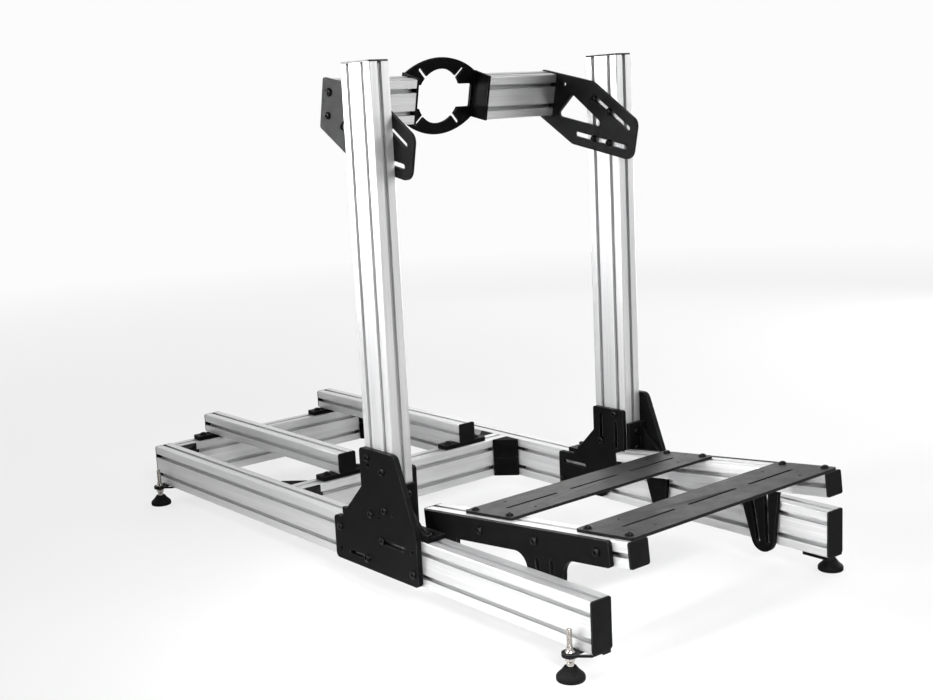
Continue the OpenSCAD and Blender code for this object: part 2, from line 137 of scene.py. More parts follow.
# name, place, target, size, power, and the spread of a spotted one
SOFTBOXES = [
    ("left_softbox", (0.3, 3.2, 0.7), MIDDLE, WIDE, 71),
    ("pedal_softbox", (2.8, 1.6, 1.5), MIDDLE, WIDE, 30.5),
    ("seat_softbox", (-2.0, -2.6, 1.5), MIDDLE, WIDE, 13.5),
    ("corner_softbox", (-2.2, 2.4, 1.0), MIDDLE, WIDE, 7.5),
    ("rail_softbox", (0.6, -3.0, 0.5), RAIL_END, SMALL, 3, 40),
    ("front_softbox", (2.8, -1.4, 1.6), RAIL_END, SMALL, 6.5, 40),
    ("upright_softbox", (-0.8, -3.0, 1.4), UPRIGHT, SQUARE, 8.1, 40),
    ("bracket_softbox", (-2.9, -2.15, 0.9), BRACKET_BACK, SMALL, 0.7, 10),
    ("rail_top_softbox", (0.75, -0.45, 2.2), RAIL_END_TOP, TINY, 1.6, 25),
]


def soft_light(name, at, target, size, power, spread=180):
    """A rectangular softbox that faces its target; spread is in degrees."""
    data = bpy.data.lights.new(name, "AREA")
    data.shape = "RECTANGLE"
    data.size, data.size_y = size
    data.energy = power
    data.spread = radians(spread)
    lamp = bpy.data.objects.new(name, data)
    bpy.context.scene.collection.objects.link(lamp)
    lamp.location = at
    lamp.rotation_euler = (Vector(target) - Vector(at)).to_track_quat("-Z", "Y").to_euler()


def make_surround():
    """A plain backdrop for the camera, and a wall brighter on one side for all other rays."""
    world = bpy.data.worlds.new("studio_surround")
    world.use_nodes = True
    tree = world.node_tree
    surround = tree.nodes["Background"]
    surround.inputs["Color"].default_value = (1.0, 1.0, 1.0, 1)
    way = node(tree, "TexCoord").outputs["Generated"]
    toward = node(tree, "VectorMath", operation="DOT_PRODUCT",
                  inputs={0: way, 1: BRIGHT_SIDE}).outputs["Value"]
    glow = remap(tree, toward, BRIGHT_SPREAD, (0.0, BRIGHT_POWER))
    seen = node(tree, "LightPath").outputs["Is Camera Ray"]
    backdrop = maths(tree, "MULTIPLY", seen, BACKDROP)
    unseen = maths(tree, "SUBTRACT", 1.0, seen)
    strength = maths(tree, "ADD", backdrop, maths(tree, "MULTIPLY", glow, unseen))
    tree.links.new(strength, surround.inputs["Strength"])
    bpy.context.scene.world = world


def make_floor():
    """A wide sheet of paper under the feet."""
    half = PAPER_HALF
    mesh = bpy.data.meshes.new("studio_floor")
    mesh.from_pydata([(-half, -half, 0), (half, -half, 0), (half, half, 0), (-half, half, 0)],
                     [], [(0, 1, 2, 3)])
    mesh.materials.append(floor_paper())
    floor = bpy.data.objects.new("studio_floor", mesh)
    bpy.context.scene.collection.objects.link(floor)


def make_studio():
    """Surround, floor and softboxes, with colours shown as they are."""
    view = bpy.context.scene.view_settings
    view.view_transform = "Standard"
    view.look = "None"
    make_surround()
    make_floor()
    for softbox in SOFTBOXES:
        soft_light(*softbox)


# ---------------------------------------------------------------- shader nodes


def feed(tree, socket, value):
    """Link a source to a socket, or set the socket's own value."""
    if isinstance(value, bpy.types.NodeSocket):
        tree.links.new(value, socket)
    else:
        socket.default_value = value


def node(tree, kind, inputs=None, **settings):
    """A node with its properties set and its inputs fed."""
    made = tree.nodes.new("ShaderNode" + kind)
    for key, value in settings.items():
        setattr(made, key, value)
    for key, value in (inputs or {}).items():
        feed(tree, made.inputs[key], value)
    return made


def maths(tree, operation, a, b, clamp=False):
    """Two values put through one sum, such as ADD or MULTIPLY."""
    return node(tree, "Math", operation=operation, use_clamp=clamp,
                inputs={0: a, 1: b}).outputs[0]


def remap(tree, value, given, wanted=(0.0, 1.0)):
    """A value stretched from the given range to the wanted one, and kept inside it."""
    return node(tree, "MapRange", inputs={"Value": value, "From Min": given[0],
                                          "From Max": given[1], "To Min": wanted[0],
                                          "To Max": wanted[1]}).outputs["Result"]


def noise(tree, vector, scale, detail, rough):
    """Cloudy noise between 0 and 1, with scale in waves to the metre."""
    return node(tree, "TexNoise", inputs={"Vector": vector, "Scale": scale, "Detail": detail,
                                          "Roughness": rough}).outputs["Fac"]


def blend_shades(tree, amount, under, over):
    """One colour laid over another; each is a source or a plain red, green and blue."""
    mix = node(tree, "Mix", data_type="RGBA")
    feed(tree, mix.inputs[0], amount)
    for index, shade in ((6, under), (7, over)):
        plain = not isinstance(shade, bpy.types.NodeSocket)
        feed(tree, mix.inputs[index], (*shade, 1) if plain else shade)
    return mix.outputs[2]


# ---------------------------------------------------------------- shader node groups

SOCKET_KINDS = {"f": "NodeSocketFloat", "v": "NodeSocketVector"}
MID_NOISE = (0.3, 0.7)             # the part of a noise that shows as tone
EDGE_COSINE = (0.99, 0.80)         # rounded against flat normal: from no edge to full edge
GRAIN_RELIEF, COAT_RELIEF = 0.12 * MM, 0.2 * MM
PATCHES, CLOUDS, SPECKS = (0.35, 0.65), (0.4, 0.75), (0.55, 0.8)
LOOKS_UP = (0.2, 0.95)             # from where dust begins to lie to a level face
CLOUD_SHARE = 0.6                  # how much of the dust lies in clouds


def new_group(name, inputs, outputs):
    """An empty node group with float or vector sockets, and its input and output nodes."""
    group = bpy.data.node_groups.new(name, "ShaderNodeTree")
    for label, kind, value in inputs:
        socket = group.interface.new_socket(label, in_out="INPUT",
                                            socket_type=SOCKET_KINDS[kind])
        if value is not None:
            socket.default_value = value
    for label, kind in outputs:
        group.interface.new_socket(label, in_out="OUTPUT", socket_type=SOCKET_KINDS[kind])
    return group, group.nodes.new("NodeGroupInput"), group.nodes.new("NodeGroupOutput")


def use_group(tree, group, **values):
    """A node group placed in a material, with its own values."""
    made = tree.nodes.new("ShaderNodeGroup")
    made.node_tree = group
    for key, value in values.items():
        feed(tree, made.inputs[key.replace("_", " ")], value)
    return made


def make_drawn_grain():
    """Die lines and fine scratches that run along a drawn profile."""
    group, given, result = new_group(
        "drawn_grain",
        [("Place", "v", None), ("Stretch", "v", (1, 1, 1)), ("Depth", "f", 0.1)],
        [("Lines", "f"), ("Bands", "f"), ("Normal", "v")])
    place = node(group, "VectorMath", operation="MULTIPLY",
                 inputs={0: given.outputs["Place"], 1: given.outputs["Stretch"]}).outputs[0]
    lines = noise(group, place, scale=620.0, detail=3.0, rough=0.65)
    bands = noise(group, place, scale=90.0, detail=2.0, rough=0.5)
    bump = node(group, "Bump", inputs={"Strength": given.outputs["Depth"],
                                       "Distance": GRAIN_RELIEF, "Height": lines})
    group.links.new(lines, result.inputs["Lines"])
    group.links.new(bands, result.inputs["Bands"])
    group.links.new(bump.outputs[0], result.inputs["Normal"])
    return group


def make_edge_wear_and_highlight():
    """White where an edge is within reach, broken up by noise: edge wear and a painted edge
    highlight.
    """
    group, given, result = new_group(
        "edge_wear_and_highlight", [("Reach", "f", 0.0008), ("Break up", "f", 0.5), ("Place", "v", None)],
        [("Edge", "f")])
    break_up = given.outputs["Break up"]
    flat = node(group, "NewGeometry").outputs["Normal"]
    rounded = node(group, "Bevel", samples=4, inputs={"Radius": given.outputs["Reach"]})
    along = node(group, "VectorMath", operation="DOT_PRODUCT",
                 inputs={0: rounded.outputs[0], 1: flat}).outputs["Value"]
    edge = remap(group, along, EDGE_COSINE)
    patches = noise(group, given.outputs["Place"], scale=140.0, detail=4.0, rough=0.7)
    kept = maths(group, "MULTIPLY", remap(group, patches, PATCHES), break_up)
    solid = maths(group, "SUBTRACT", 1.0, break_up)
    mask = maths(group, "MULTIPLY", edge, maths(group, "ADD", kept, solid), clamp=True)
    group.links.new(mask, result.inputs["Edge"])
    return group


def make_dust_film():
    """A thin film of dust that lies on faces that look up."""
    group, given, result = new_group(
        "dust_film", [("Place", "v", None), ("Amount", "f", 0.2)], [("Dust", "f")])
    place = given.outputs["Place"]
    normal = node(group, "NewGeometry").outputs["Normal"]
    facing = node(group, "VectorMath", operation="DOT_PRODUCT",
                  inputs={0: normal, 1: UP}).outputs["Value"]
    level = remap(group, facing, LOOKS_UP)
    clouds = noise(group, place, scale=26.0, detail=5.0, rough=0.6)
    specks = noise(group, place, scale=900.0, detail=2.0, rough=0.5)
    thin_film = maths(group, "MULTIPLY", remap(group, clouds, CLOUDS), CLOUD_SHARE)
    film = maths(group, "ADD", thin_film, remap(group, specks, SPECKS), clamp=True)
    dust = maths(group, "MULTIPLY", maths(group, "MULTIPLY", film, level),
                 given.outputs["Amount"], clamp=True)
    group.links.new(dust, result.inputs["Dust"])
    return group


def make_coat_texture():
    """The fine orange peel of a baked powder coat or a moulded skin."""
    group, given, result = new_group(
        "coat_texture", [("Place", "v", None), ("Size", "f", 1500.0), ("Depth", "f", 0.2)],
        [("Mottle", "f"), ("Normal", "v")])
    place = given.outputs["Place"]
    peel = noise(group, place, scale=given.outputs["Size"], detail=3.0, rough=0.55)
    mottle = noise(group, place, scale=34.0, detail=4.0, rough=0.6)
    bump = node(group, "Bump", inputs={"Strength": given.outputs["Depth"],
                                       "Distance": COAT_RELIEF, "Height": peel})
    group.links.new(mottle, result.inputs["Mottle"])
    group.links.new(bump.outputs[0], result.inputs["Normal"])
    return group


DRAWN_GRAIN = make_drawn_grain()
# edge mask used both for real wear and for a painted highlight along edges
EDGE_WEAR_AND_HIGHLIGHT = make_edge_wear_and_highlight()
DUST_FILM = make_dust_film()
COAT_TEXTURE = make_coat_texture()

# ---------------------------------------------------------------- finishes

BAND_DARK, BAND_PALE = (0.57, 0.575, 0.58), (0.73, 0.73, 0.725)
# the pale edge shade stands for worn bare metal and a painted edge highlight
DIE_LINE, BARE_AND_HIGHLIT_EDGE = (0.50, 0.50, 0.505), (0.8, 0.8, 0.79)
# the worn coat shade also stands for a painted highlight along coated edges
WORN_AND_HIGHLIT_COAT, DUST = (0.22, 0.22, 0.225), (0.32, 0.31, 0.30)
GRAIN_STRETCH = 0.012              # how far the grain is drawn out along a profile
LINE_STRENGTH = 0.7                # how much of a die line's shade shows
ALU_ROUGH = (0.38, 0.52)           # from the dark to the bright part of the lines
DUST_DULLS = 0.6                   # how much rougher full dust makes a coat
STAIN_PATCHES = (0.35, 0.65)


def new_material(name, **shader_values):
    """A material with its shader, and the place vector that its textures share."""
    material = bpy.data.materials.new(name)
    material.use_nodes = True
    tree = material.node_tree
    shader = tree.nodes["Principled BSDF"]
    for key, value in shader_values.items():
        shader.inputs[key.replace("_", " ")].default_value = value
    place = node(tree, "TexCoord").outputs["Object"]
    return material, tree, shader, place


def anodised(name, axis, tilt=0.0):
    """Clear-anodised profile: bright satin metal with lines along its length."""
    material, tree, shader, place = new_material(name, Metallic=0.78, Anisotropic=0.55)
    across = node(tree, "Tangent", direction_type="RADIAL", axis=axis)
    tree.links.new(across.outputs[0], shader.inputs["Tangent"])
    if tilt:
        place = node(tree, "Mapping", inputs={"Vector": place,
                                              "Rotation": (0, tilt, 0)}).outputs[0]
    stretch = [GRAIN_STRETCH if letter == axis else 1 for letter in "XYZ"]
    grain = use_group(tree, DRAWN_GRAIN, Place=place, Stretch=stretch, Depth=0.35)
    edge = use_group(tree, EDGE_WEAR_AND_HIGHLIGHT, Place=place, Reach=0.0006, Break_up=0.4)
    lines = grain.outputs["Lines"]
    banded = blend_shades(tree, remap(tree, grain.outputs["Bands"], MID_NOISE),
                          BAND_DARK, BAND_PALE)
    line_mask = remap(tree, lines, MID_NOISE, (0.0, LINE_STRENGTH))
    lined = blend_shades(tree, line_mask, banded, DIE_LINE)
    # edges paler: bare wear and a painted edge highlight
    worn_and_highlit = blend_shades(tree, edge.outputs["Edge"], lined, BARE_AND_HIGHLIT_EDGE)
    tree.links.new(worn_and_highlit, shader.inputs["Base Color"])
    tree.links.new(remap(tree, lines, (0.25, 0.75), ALU_ROUGH), shader.inputs["Roughness"])
    tree.links.new(grain.outputs["Normal"], shader.inputs["Normal"])
    return material


def coated(name, shade, lift, rough, peel, depth, dust=0.12, wear_plus_highlight=0.35, sheen=0.03):
    """Black coated or moulded skin with a fine texture, paler edges from wear and a painted
    highlight, and a little dust.
    """
    material, tree, shader, place = new_material(name, Specular_IOR_Level=sheen)
    skin = use_group(tree, COAT_TEXTURE, Place=place, Size=peel, Depth=depth)
    edge = use_group(tree, EDGE_WEAR_AND_HIGHLIGHT, Place=place, Reach=0.0009, Break_up=0.6)
    film = use_group(tree, DUST_FILM, Place=place, Amount=dust).outputs["Dust"]
    mottle = skin.outputs["Mottle"]
    mottled = blend_shades(tree, remap(tree, mottle, MID_NOISE), shade, lift)
    # edges paler: coat wear and a painted edge highlight
    worn_and_highlit = blend_shades(tree, maths(tree, "MULTIPLY", edge.outputs["Edge"], wear_plus_highlight),
                        mottled, WORN_AND_HIGHLIT_COAT)
    tree.links.new(blend_shades(tree, film, worn_and_highlit, DUST), shader.inputs["Base Color"])
    uneven = remap(tree, mottle, MID_NOISE, (rough - 0.04, rough + 0.05))
    dulled = maths(tree, "ADD", uneven, maths(tree, "MULTIPLY", film, DUST_DULLS), clamp=True)
    tree.links.new(dulled, shader.inputs["Roughness"])
    tree.links.new(skin.outputs["Normal"], shader.inputs["Normal"])
    return material


def bare_metal(name, shade, stain, rough, shine=0.05):
    """Small hardware: plated or blackened steel with slight stains."""
    material, tree, shader, place = new_material(name, Metallic=1.0)
    skin = use_group(tree, COAT_TEXTURE, Place=place, Size=420.0, Depth=0.08)
    edge = use_group(tree, EDGE_WEAR_AND_HIGHLIGHT, Place=place, Reach=0.0004, Break_up=0.3)
    mottle = skin.outputs["Mottle"]
    stained = blend_shades(tree, remap(tree, mottle, STAIN_PATCHES), shade, stain)
    # paler edges: worn metal and a painted highlight ring round the bolt heads
    bright = tuple(min(1.0, 1.3 * c + shine) for c in shade)
    worn_and_highlit = blend_shades(tree, edge.outputs["Edge"], stained, bright)
    tree.links.new(worn_and_highlit, shader.inputs["Base Color"])
    uneven = remap(tree, mottle, MID_NOISE, (rough - 0.05, rough + 0.08))
    tree.links.new(uneven, shader.inputs["Roughness"])
    tree.links.new(skin.outputs["Normal"], shader.inputs["Normal"])
    return material


def grey(value):
    """The same red, green and blue."""
    return (value, value, value)


def floor_paper():
    """White paper with a faint tooth; the camera sees it lit up, with faint shadows."""
    material, tree, shader, place = new_material(
        "white_paper", Specular_IOR_Level=0.0, Roughness=0.8, Emission_Strength=1.0)
    tooth = noise(tree, place, scale=60.0, detail=4.0, rough=0.6)
    dark, pale = PAPER_TONES
    paper = blend_shades(tree, remap(tree, tooth, MID_NOISE), grey(dark), grey(pale))
    reach = node(tree, "VectorMath", operation="LENGTH", inputs={0: place}).outputs["Value"]
    seen = node(tree, "LightPath").outputs["Is Camera Ray"]
    far = remap(tree, reach, PAPER_FADE)
    shadowed = blend_shades(tree, far, grey(PAPER_SHADE), grey(0))
    tree.links.new(blend_shades(tree, seen, paper, shadowed), shader.inputs["Base Color"])
    glow = blend_shades(tree, far, grey(PAPER_GLOW), grey(BACKDROP))
    tree.links.new(blend_shades(tree, seen, grey(0), glow), shader.inputs["Emission Color"])
    return material


METAL_X = anodised("anodised_lengthwise", "X")
METAL_Y = anodised("anodised_crosswise", "Y")
METAL_Z = anodised("anodised_upright", "Z")
METAL_DECK = anodised("anodised_deck", "X", tilt=DECK_TILT)
PLATE_BLACK = coated("powder_coat", (0.0025, 0.0025, 0.0028), (0.0045, 0.0045, 0.0048),
                     rough=0.42, peel=1500.0, depth=0.22)
PEDAL_BLACK = coated("pedal_plate_coat", (0.003, 0.003, 0.0033), (0.005, 0.005, 0.0053),
                     rough=0.42, peel=1500.0, depth=0.22, dust=0.07, sheen=0.10)
# a lighter copy of the powder coat: painted light on the beam brackets
BRACKET_BLACK_PAINTED_LIT = coated("bracket_coat_painted_lit", (0.004, 0.004, 0.0043), (0.007, 0.007, 0.0073),
                       rough=0.42, peel=1500.0, depth=0.22, sheen=0.08)
CAST_BLACK = coated("cast_black", grey(0.002), grey(0.004),
                    rough=0.55, peel=800.0, depth=0.4, dust=0.04, wear_plus_highlight=0.2, sheen=0.02)
CAP_BLACK = coated("cap_plastic", (0.004, 0.004, 0.0043), grey(0.007),
                   rough=0.5, peel=1100.0, depth=0.25, dust=0.08, wear_plus_highlight=0.3)
CAP_GLOSS = coated("top_cap_plastic", (0.004, 0.004, 0.0043), grey(0.007),
                   rough=0.3, peel=1100.0, depth=0.15, dust=0.08, wear_plus_highlight=0.3, sheen=0.22)
RUBBER = coated("foot_rubber", grey(0.004), grey(0.008),
                rough=0.6, peel=700.0, depth=0.4, dust=0.08, wear_plus_highlight=0.1)
BOLT_BLACK = bare_metal("black_oxide", (0.014, 0.014, 0.0145), grey(0.008), rough=0.34,
                        shine=0.008)
NICKEL = bare_metal("nickel_plate", (0.44, 0.415, 0.39), (0.30, 0.28, 0.26), rough=0.20)
NUT_STEEL = bare_metal("slot_nut_steel", grey(0.05), grey(0.02), rough=0.35)

# ---------------------------------------------------------------- mesh tools


class Shape:
    """Vertices and faces of one small form, before it is set in many places."""

    def __init__(self):
        self.points, self.faces = [], []

    def ring(self, radius, z, steps):
        """A circle of points at height z."""
        start = len(self.points)
        for i in range(steps):
            a = 2 * pi * i / steps
            self.points.append(Vector((radius * cos(a), radius * sin(a), z)))
        return list(range(start, start + steps))

    def outline(self, points, z):
        """A closed outline of (x, y) points at height z."""
        start = len(self.points)
        self.points += [Vector((x, y, z)) for x, y in points]
        return list(range(start, start + len(points)))

    def bridge(self, first, second):
        """Walls between two outlines with the same number of points."""
        n = len(first)
        for i in range(n):
            j = (i + 1) % n
            self.faces.append((first[i], first[j], second[j], second[i]))

    def bridge_all(self, rings, closed=False):
        """Walls from each outline to the next, and from the last to the first if closed."""
        for first, second in zip(rings, rings[1:] + (rings[:1] if closed else [])):
            self.bridge(first, second)

    def fill(self, ring, upwards=True):
        """One flat face inside an outline."""
        self.faces.append(tuple(ring if upwards else reversed(ring)))

    def lathe(self, profile, steps, close_bottom=True, close_top=True):
        """A turned form from (radius, height) points."""
        rings = [self.ring(r, z, steps) for r, z in profile]
        self.bridge_all(rings)
        if close_bottom:
            self.fill(rings[0], upwards=False)
        if close_top:
            self.fill(rings[-1])
        return rings


def hexagon(flats, per_side):
    """Points round a hexagon, per_side to each side; flats is its width."""
    corner = flats / sqrt(3)
    tips = [(corner * cos(pi / 3 * i), corner * sin(pi / 3 * i)) for i in range(6)]
    points = []
    for i in range(6):
        a, b = tips[i], tips[(i + 1) % 6]
        for k in range(per_side):
            t = k / per_side
            points.append((a[0] + (b[0] - a[0]) * t, a[1] + (b[1] - a[1]) * t))
    return points


def rounded_rectangle(width, height, radius, steps=4):
    """Points round a rectangle with rounded corners, steps to each corner."""
    points = []
    for cx, cy, start in ((1, 1, 0), (-1, 1, 90), (-1, -1, 180), (1, -1, 270)):
        for k in range(steps + 1):
            a = radians(start + 90 * k / steps)
            points.append((cx * (width / 2 - radius) + radius * cos(a),
                           cy * (height / 2 - radius) + radius * sin(a)))
    return points


def in_metres(points):
    """Points of a drawing in millimetres, turned into metres."""
    return [tuple(value * MM for value in point) for point in points]


def piece(name, shape, places, material, smooth=35):
    """One mesh with the shape set in every place, shaded smooth below an angle."""
    points, faces = [], []
    for place in places:
        start = len(points)
        points += [place @ p for p in shape.points]
        faces += [tuple(i + start for i in f) for f in shape.faces]
    mesh = bpy.data.meshes.new(name)
    mesh.from_pydata(points, [], faces)
    mesh.validate()
    mesh.materials.append(material)
    mesh.shade_smooth()
    mesh.set_sharp_from_angle(angle=radians(smooth))
    made = bpy.data.objects.new(name, mesh)
    bpy.context.scene.collection.objects.link(made)
    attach(made, "root")
    return made


def stand(at, out, frame_matrix=WORLD, spin=0.0):
    """A place at a point whose own z axis looks out."""
    turn = out.to_track_quat("Z", "Y").to_matrix().to_4x4()
    return frame_matrix @ Matrix.Translation(at) @ turn @ Matrix.Rotation(spin, 4, "Z")


def both(places):
    """Places on the right of the frame, and the same ones on its left."""
    return places + [MIRROR @ place @ MIRROR for place in places]


def soften(name, width, angle=40, segments=2):
    """Small rounded edges on a CAD node; width is in millimetres."""
    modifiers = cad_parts[name].modifiers
    weld = modifiers.new("join_faces", "WELD")
    weld.merge_threshold = JOIN_WITHIN
    bevel = modifiers.new("soft_edges", "BEVEL")
    bevel.width = width * MM
    bevel.segments = segments
    bevel.limit_method = "ANGLE"
    bevel.angle_limit = radians(angle)
    bevel.use_clamp_overlap = True
    bevel.harden_normals = True


def dress(names, material, edge):
    """A finish and rounded edges for CAD nodes."""
    for name in names:
        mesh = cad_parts[name].data
        mesh.materials.clear()
        mesh.materials.append(material)
        soften(name, edge)


# ---------------------------------------------------------------- bolts in plates and rails

HEAD_R, HEAD_H, SOCKET = 7.0 * MM, 4.2 * MM, 5.0 * MM
HEAD_SKIRT = [(0.985, 0.0), (1.0, 0.12), (1.0, 0.22)]    # parts of radius and height
DOME_ANGLES = (24, 36, 48, 60, 72)
DOME_FLAT, DOME_ROUND, DOME_RISE, DOME_TOP = 0.42, 0.58, 0.70, 0.52
SOCKET_MOUTH, SOCKET_POINT = 1.08, 0.2                   # parts of the socket's width
MOUTH_AT, LIP_AT, FLOOR_AT, POINT_AT = 0.99, 0.92, 0.35, 0.25

FIRST_SPIN, SPIN_STEP = 0.3, 0.7    # how the bolts' sockets are turned, in radians
PEDAL_PLATE_MIDDLES, PEDAL_BOLT_REACH, PEDAL_PLATE_TOP = (-316, -58), 42, 45
UPRIGHT_DEEP, ANGLE_THICK = 80 * MM, 8 * MM
ANGLE_FOOT_BOLTS, ANGLE_WALL_BOLTS = (30.3 * MM, 65.6 * MM), (32 * MM, 65.6 * MM)
SPACER_BOLT_REACH, SPACER_BOLT_SCALE = 37 * MM, 1.15

# places in millimetres: along the plate and up it, from its own frame
OUTER_BOLTS = [(20, 123), (20, 23), (61, 105), (61, 37), (-75, -19), (2, -60), (50, -18),
               (132, -58)]
INNER_BOLTS = [(57.5, 99), (20, 41), (-91, -58), (-20, -60)]
BEAM_UPRIGHT_BOLTS = [(146, 52), (188.5, 35), (158, -21.5), (197.6, -21.5)]
BEAM_END_BOLTS = [(20, 20), (20, 60)]
DECK_BOLTS = [(-319, 21), (-190, 21), (-58, 21)]


def button_head(scale=1.0, steps=24):
    """Button-head bolt with a hexagon socket, seated at z = 0."""
    shape = Shape()
    r, h = HEAD_R * scale, HEAD_H * scale
    dome = [(r * across, h * up) for across, up in HEAD_SKIRT]
    skirt, top = HEAD_SKIRT[-1][1], radians(DOME_ANGLES[-1])
    for angle in DOME_ANGLES:
        a = radians(angle)
        dome.append((r * (DOME_FLAT + DOME_ROUND * cos(a)),
                     h * (skirt + DOME_RISE * sin(a) / sin(top))))
    dome.append((r * DOME_TOP, h))
    rings = shape.lathe(dome, steps, close_bottom=False, close_top=False)
    walls = hexagon(SOCKET * scale, steps // 6)
    mouth = shape.outline(hexagon(SOCKET * scale * SOCKET_MOUTH, steps // 6), h * MOUTH_AT)
    lip = shape.outline(walls, h * LIP_AT)
    floor = shape.outline(walls, h * FLOOR_AT)
    point = shape.ring(SOCKET * scale * SOCKET_POINT, h * POINT_AT, steps)
    shape.bridge_all([rings[-1], mouth, lip, floor, point])
    shape.fill(point)
    return shape


def on_side(points, face, frame_matrix, out=RIGHT):
    """Places on a side face of both sides; points are (x, z) in millimetres in that frame."""
    return both([stand((x * MM, -face, z * MM), out, frame_matrix, FIRST_SPIN + SPIN_STEP * i)
                 for i, (x, z) in enumerate(points)])


def rail_middle(name):
    """How far the middle line of a right-hand rail lies from the middle of the frame."""
    return (-low(name).y - high(name).y) / 2


def make_plate_bolts():
    """Bolts through the upright's plates, the pedal deck's plates and the beam's brackets."""
    places = on_side(OUTER_BOLTS, OUTER_FACE, SIDE_PLATES)
    places += on_side(INNER_BOLTS, INNER_FACE, SIDE_PLATES, out=-RIGHT)
    places += on_side(DECK_BOLTS, DECK_PLATE_OUTER, DECK)
    places += on_side(BEAM_END_BOLTS, BEAM_PLATE_OUTER, BEAM)
    places += on_side(BEAM_UPRIGHT_BOLTS, BEAM_PLATE_INNER, BEAM, out=-RIGHT)
    piece("plate_bolts", button_head(), places, BOLT_BLACK)


def make_pedal_plate_bolts():
    """Bolts that hold the two pedal plates on the deck rails."""
    y = -rail_middle("deck_rail_right")
    places = []
    for middle in PEDAL_PLATE_MIDDLES:
        for reach in (-PEDAL_BOLT_REACH, PEDAL_BOLT_REACH):
            at = ((middle + reach) * MM, y, PEDAL_PLATE_TOP * MM)
            places.append(stand(at, UP, DECK, 0.2 + reach))
    piece("pedal_plate_bolts", button_head(), both(places), BOLT_BLACK)


def make_base_angle_bolts():
    """Bolts through the base angles into the rails and the uprights."""
    y = -(RAIL_OUTER + RAIL_INNER) / 2
    front, rear = UPRIGHT_REAR + UPRIGHT_DEEP, UPRIGHT_REAR
    top = RAIL_TOP + ANGLE_THICK
    places = []
    for reach in ANGLE_FOOT_BOLTS:
        places.append(stand((front + reach, y, top), UP, spin=0.4))
        places.append(stand((rear - reach, y, top), UP, spin=0.1))
    for rise in ANGLE_WALL_BOLTS:
        z = RAIL_TOP + rise
        places.append(stand((front + ANGLE_THICK, y, z), FORWARD, spin=0.5))
        places.append(stand((rear - ANGLE_THICK, y, z), -FORWARD, spin=0.2))
    piece("base_angle_bolts", button_head(), both(places), BOLT_BLACK)


def make_seat_spacer_bolts():
    """Larger bolts beside the seat rails, through their spacers."""
    top = high("seat_spacers").z
    y = -rail_middle("seat_rail_right")
    places = []
    for cross in ("cross_rear", "cross_middle"):
        x = low(cross).x + PROFILE / 2
        for reach in (-SPACER_BOLT_REACH, SPACER_BOLT_REACH):
            places.append(stand((x, y + reach, top), UP, spin=0.3 + 10 * reach))
    piece("seat_spacer_bolts", button_head(SPACER_BOLT_SCALE), both(places), BOLT_BLACK)


# ---------------------------------------------------------------- corner gussets

GUSSET_LEG, GUSSET_GAP = 38 * MM, 1 * MM
COVER_TRIM, COVER_SHORT, COVER_INSET = 4.6 * MM, 0.6 * MM, 1.6 * MM
COVER_BASE, COVER_EDGE, COVER_TOP = -0.4 * MM, 0.5 * MM, 1.0 * MM
COVER_PROUD, COVER_CORNER, CROWN_CORNER = 3 * MM, 2 * MM, 1.4 * MM
NUT_LONG, NUT_WIDE, NUT_DEEP, NUT_SUNK = 16 * MM, 7.4 * MM, 4.0 * MM, 2.4 * MM
NUT_CORNER = 1.2 * MM
NUT_PAST = 0.25    # how far its middle is past the gusset's end, in parts of its length


def gusset_corners():
    """Each right-hand gusset: the cross member's face, the way it looks, and its height."""
    faces = [(high("cross_rear").x, 1), (low("cross_middle").x, -1),
             (high("cross_middle").x, 1)]
    return [(x, way, RAIL_UNDER + PROFILE * (level + 0.5))
            for x, way in faces for level in (0, 1)]


def make_gusset_covers():
    """Moulded covers over the open side of the corner gussets."""
    wide = GUSSET_LEG * sqrt(2) - COVER_TRIM
    tall = PROFILE - GUSSET_GAP - COVER_SHORT
    shape = Shape()
    rim = rounded_rectangle(wide, tall, COVER_CORNER)
    crown = rounded_rectangle(wide - 2 * COVER_INSET, tall - 2 * COVER_INSET, CROWN_CORNER)
    base = shape.outline(rim, COVER_BASE)
    side = shape.outline(rim, COVER_EDGE)
    top = shape.outline(crown, COVER_TOP)
    shape.bridge_all([base, side, top])
    shape.fill(top)
    shape.fill(base, upwards=False)
    reach = (GUSSET_LEG + COVER_PROUD) / 2
    places = []
    for x, way, z in gusset_corners():
        at = Vector((x + way * reach, -(RAIL_INNER - reach), z))
        out = Vector((way, 1, 0)).normalized()
        turn = Matrix((Vector((-out.y, out.x, 0)), UP, out)).transposed().to_4x4()
        places.append(Matrix.Translation(at) @ turn)
    piece("gusset_covers", shape, both(places), CAST_BLACK, smooth=25)


def make_gusset_slot_nuts():
    """Slot nuts of the corner gussets, seen in the slots beside them."""
    shape = Shape()
    rim = rounded_rectangle(NUT_LONG, NUT_WIDE, NUT_CORNER)
    under = shape.outline(rim, -NUT_SUNK - NUT_DEEP)
    top = shape.outline(rim, -NUT_SUNK)
    shape.bridge(under, top)
    shape.fill(under, upwards=False)
    shape.fill(top)
    reach = GUSSET_LEG + GUSSET_GAP + NUT_PAST * NUT_LONG
    places = []
    for x, way, z in gusset_corners():
        places.append(stand((x, -(RAIL_INNER - reach), z), FORWARD * way, spin=pi / 2))
        places.append(stand((x + way * reach, -RAIL_INNER, z), -RIGHT))
    piece("gusset_slot_nuts", shape, both(places), NUT_STEEL, smooth=30)


# ---------------------------------------------------------------- levelling feet

